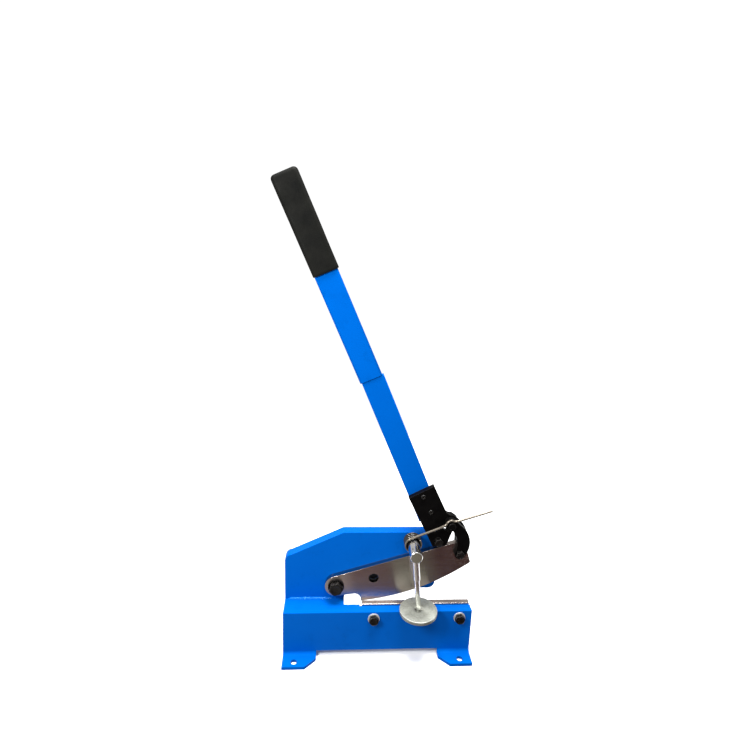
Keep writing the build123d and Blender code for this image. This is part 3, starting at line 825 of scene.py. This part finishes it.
def spring():
    low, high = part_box("spring_coil")
    leg_low, leg_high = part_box("latch_spring_leg")
    leg_y = (leg_low.y + leg_high.y) / 2
    rear_y = high.y - WIRE_RADIUS
    front_y = low.y + WIRE_RADIUS
    coil_end = LEG_TURN_END + LEG_TURN
    coil = helix(coil_end + tau * COIL_TURNS, -tau * COIL_TURNS, rear_y, front_y, 48 * COIL_TURNS)
    tail = [coil[0] + Vector((0.5 * MM, 0.6 * MM, -1.5 * MM))]
    points, faces = tube_along(tail + coil, COIL_WIRE_RADIUS)
    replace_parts(add_piece("spring_turns", points, faces, "spring_coil", "shaded_coil_wire"), "spring_coil")

    first_y = front_y - 2 * WIRE_RADIUS * 0.55
    turn = helix(coil_end, -LEG_TURN, first_y, leg_y, 56)
    corners = [
        turn[-1],
        LATCH_PIN + Vector((-8.4 * MM, 0, 0.2 * MM)),
        LATCH_PIN + Vector((-5.8 * MM, 0, 5.9 * MM)),
        LATCH_PIN + Vector((-1.2 * MM, 0, 8.5 * MM)),
        LATCH_PIN + Vector((4.8 * MM, 0, 5.8 * MM)),
        Vector((leg_high.x, 0, leg_high.z - WIRE_RADIUS)),
    ]
    for corner in corners:
        corner.y = leg_y
    points, faces = tube_along(turn[:-1] + smooth_corners(corners), WIRE_RADIUS)
    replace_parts(add_piece("latch_wire", points, faces, "latch_spring_leg"), "latch_spring_leg")


# ---------------------------------------------------------------- hold-down

ROD_TILT = radians(5.7)
ROD_DOWN = Vector((sin(ROD_TILT), 0, -cos(ROD_TILT)))
ROD_SIDE = Vector((cos(ROD_TILT), 0, sin(ROD_TILT)))
SLEEVE_START = 7.2 * MM
SLEEVE_END = 38.5 * MM
SLEEVE_RADIUS = 4.7 * MM
SLEEVE_BORE = 3.85 * MM
ROD_RADIUS = 3.5 * MM


def rod_origin():
    low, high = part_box("hold_down_disc")
    return Vector((ARM_AXIS.x, (low.y + high.y) / 2, ARM_AXIS.z))


def threaded_sleeve():
    rings = [(SLEEVE_BORE, SLEEVE_START), (SLEEVE_RADIUS, SLEEVE_START)]
    rings += thread(SLEEVE_RADIUS, 0.14 * MM, MM, SLEEVE_START + 0.3 * MM, SLEEVE_END - 0.7 * MM)
    rings += [
        (SLEEVE_RADIUS - 0.4 * MM, SLEEVE_END),
        (SLEEVE_BORE, SLEEVE_END),
    ]
    points, faces = turned(rings, rod_origin(), ROD_DOWN, ROD_SIDE, hollow=True)
    piece = add_piece("threaded_sleeve", points, faces, "hold_down_sleeve")
    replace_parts(piece, "hold_down_sleeve")


def plain_rod():
    low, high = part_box("hold_down_rod")
    start = (ARM_AXIS.z - high.z) / cos(ROD_TILT) + 0.4 * MM
    end = (ARM_AXIS.z - low.z) / cos(ROD_TILT) - 0.4 * MM
    rings = [
        (ROD_RADIUS - 0.6 * MM, start),
        (ROD_RADIUS, start + 0.6 * MM),
        (ROD_RADIUS, end - 1.0 * MM),
        (ROD_RADIUS - 0.3 * MM, end - 0.4 * MM),
        (ROD_RADIUS - 0.9 * MM, end),
    ]
    points, faces = turned(rings, rod_origin(), ROD_DOWN, ROD_SIDE)
    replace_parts(add_piece("screw_rod", points, faces, "hold_down_rod"), "hold_down_rod")


def pad_disc():
    """Turned disc with broken edges and a countersunk seat for the rod."""
    low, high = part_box("hold_down_disc")
    radius = (high.x - low.x) / 2
    top = high.z - low.z
    rings = [
        (radius - 1.6 * MM, 0),
        (radius - 0.9 * MM, 0),
        (radius - 0.2 * MM, 0.35 * MM),
        (radius, 1.0 * MM),
        (radius, top - 0.9 * MM),
        (radius - 0.2 * MM, top - 0.3 * MM),
        (radius - 0.9 * MM, top),
        (8.5 * MM, top - 0.05 * MM),
        (6.6 * MM, top - 0.15 * MM),
        (4.8 * MM, top - 1.3 * MM),
        (4.75 * MM, top - 3.5 * MM),
    ]
    origin = Vector(((low.x + high.x) / 2, (low.y + high.y) / 2, low.z))
    points, faces = turned(rings, origin, Vector((0, 0, 1)), Vector((1, 0, 0)), 120)
    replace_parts(add_piece("pad_disc", points, faces, "hold_down_disc"), "hold_down_disc")


# ---------------------------------------------------------------- grip

GRIP_START = 387.6 * MM
GRIP_END = 510.6 * MM
GRIP_WIDTH = 33.4 * MM
GRIP_THICK = 17 * MM
GRIP_CORNER = 6 * MM
GRIP_OFFSET = 2.2 * MM
GRIP_POINTS = 72


def rounded_outline(width, thick, corner):
    """Points of a rounded rectangle, evenly spread round its middle."""
    inner = (width / 2 - corner, thick / 2 - corner)
    outline = []
    for index in range(GRIP_POINTS):
        quarter, step = divmod(index, GRIP_POINTS // 4)
        angle = pi / 2 * (quarter + step / (GRIP_POINTS / 4 - 1))
        sign_x = 1 if quarter in (0, 3) else -1
        sign_y = 1 if quarter in (0, 1) else -1
        outline.append((sign_x * inner[0] + corner * cos(angle), sign_y * inner[1] + corner * sin(angle)))
    return outline


def soft_grip():
    """A dipped sleeve with a soft end, a rolled mouth and slightly uneven sides."""
    depth = (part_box("grip")[0].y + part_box("grip")[1].y) / 2
    mouth = [(-2.2 * MM, 3 * MM), (-2.2 * MM, 0.5 * MM), (-1.2 * MM, 0), (-0.4 * MM, 0.1 * MM), (0, 0.7 * MM)]
    length = GRIP_END - GRIP_START
    sides = [(0, 3 * MM + (length - 8 * MM) * step / 40) for step in range(41)]
    crown = []
    for step in range(1, 9):
        angle = pi / 2 * step / 8
        crown.append((-5 * MM * (1 - cos(angle)), length - 5 * MM + 5 * MM * sin(angle)))
    crown.append((-7.4 * MM, length))
    points = []
    for grow, distance in mouth + sides + crown:
        width = GRIP_WIDTH + 2 * grow
        thick = GRIP_THICK + 2 * grow
        corner = max(0.6 * MM, GRIP_CORNER + grow)
        for across, out in rounded_outline(width, thick, corner):
            place = Vector((across * 40, out * 40, distance * 25))
            swell = 1 + 0.012 * noise.noise(place)
            at = LEVER_PIVOT + LEVER_UP * (GRIP_START + distance)
            at = at + LEVER_SIDE * (GRIP_OFFSET + across * swell)
            points.append(Vector((at.x, depth - out * swell, at.z)))
    faces = skin(len(points) // GRIP_POINTS, GRIP_POINTS)
    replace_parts(add_piece("soft_grip", points, faces, "grip"), "grip")


# ---------------------------------------------------------------- floor, light, reflections


def lamp(name, place, target, size, power):
    """A round white lamp that the camera doesn't see."""
    data = bpy.data.lights.new(name, "AREA")
    data.shape = "DISK"
    data.size = size
    data.energy = power
    light = bpy.data.objects.new(name, data)
    bpy.context.scene.collection.objects.link(light)
    light.visible_camera = False
    light.location = place
    light.rotation_mode = "QUATERNION"
    light.rotation_quaternion = (Vector(target) - Vector(place)).to_track_quat("-Z", "Y")


def flat_sheet(name, low, high, height, material):
    corners = [(low[0], low[1]), (high[0], low[1]), (high[0], high[1]), (low[0], high[1])]
    mesh = bpy.data.meshes.new(name)
    mesh.from_pydata([(x, y, height) for x, y in corners], [], [(0, 1, 2, 3)])
    sheet = bpy.data.objects.new(name, mesh)
    bpy.context.scene.collection.objects.link(sheet)
    mesh.materials.append(material)
    return sheet


def floor_material():
    s = Shader("floor", Roughness=0.9, Specular_IOR_Level=0.1)
    s.into("Base Color", s.mix(s.noise(3, 3), (0.95, 0.95, 0.95), (0.98, 0.98, 0.98)))
    return s.material


def reflection_card_material():
    """A glowing card, no lamp, seen only in reflections: it paints brown reflections with a grey-green patch and a
    pale patch onto the metal.
    """
    s = Shader("reflection_card", Roughness=1.0)
    glow = s.node("ShaderNodeEmission")
    reach = s.sum(s.sum(s.axis("X"), 0.4), 1 / 0.8, "MULTIPLY")
    tones = s.ramp(
        reach,
        [
            (0.38, (0.55, 0.50, 0.45)),
            (0.45, (0.19, 0.115, 0.105)),
            (0.545, (0.17, 0.11, 0.105)),
            (0.56, (0.19, 0.185, 0.15)),
            (0.62, (0.18, 0.17, 0.13)),
            (0.66, (0.095, 0.042, 0.038)),
        ],
    )
    left = s.ramp(s.sum(s.axis("X"), 0.5), [(0.455, 1.0), (0.475, 0.0)])
    near = s.ramp(s.sum(s.axis("Y"), 0.5), [(0.335, 0.0), (0.36, 1.0)])
    tones = s.mix(s.sum(left, near, "MULTIPLY"), tones, (0.62, 0.57, 0.51))
    s.feed(glow.inputs["Color"], tones)
    glow.inputs["Strength"].default_value = 1.0
    s.feed(s.tree.nodes["Material Output"].inputs["Surface"], glow.outputs[0])
    return s.material


SKY_LIGHT = 0.5
BACKGROUND_WHITE = 1.06
FLOOR_REACH = 0.85


def stage():
    near, far = (-FLOOR_REACH, -FLOOR_REACH), (FLOOR_REACH, FLOOR_REACH)
    floor = flat_sheet("floor", near, far, -0.0002, floor_material())
    floor.visible_diffuse = False
    # painted reflection: a glowing card that only glossy rays see
    reflection_card = flat_sheet("reflection_card", (-0.7, -1.2), (0.9, -0.05), 0.0, reflection_card_material())
    reflection_card.visible_camera = False
    reflection_card.visible_diffuse = False
    reflection_card.visible_shadow = False
    reflection_card.visible_transmission = False
    reflection_card.visible_volume_scatter = False
    world = bpy.data.worlds.new("studio")
    world.use_nodes = True
    tree = world.node_tree
    sky = tree.nodes["Background"]
    sky.inputs["Color"].default_value = (1, 1, 1, 1)
    rays = tree.nodes.new("ShaderNodeLightPath")
    strength = tree.nodes.new("ShaderNodeMapRange")
    strength.inputs["To Min"].default_value = SKY_LIGHT
    strength.inputs["To Max"].default_value = BACKGROUND_WHITE
    tree.links.new(rays.outputs["Is Camera Ray"], strength.inputs["Value"])
    tree.links.new(strength.outputs["Result"], sky.inputs["Strength"])
    bpy.context.scene.world = world
    lamp("key", (-0.42, -0.42, 0.62), (-0.05, 0, 0.05), 0.22, 5.6)
    lamp("overhead", (0.05, -0.1, 1.5), (0, 0, 0.1), 0.8, 44)
    bpy.context.scene.view_settings.view_transform = "Standard"
    bpy.context.scene.view_settings.look = "None"


# ---------------------------------------------------------------- the whole

make_camera()
for node_name in nodes:
    dress(node_name)
blade_bolts()
lug_screws()
lug_screw_nuts()
pivot_fasteners()
welds()
spring()
threaded_sleeve()
plain_rod()
pad_disc()
soft_grip()
stage()
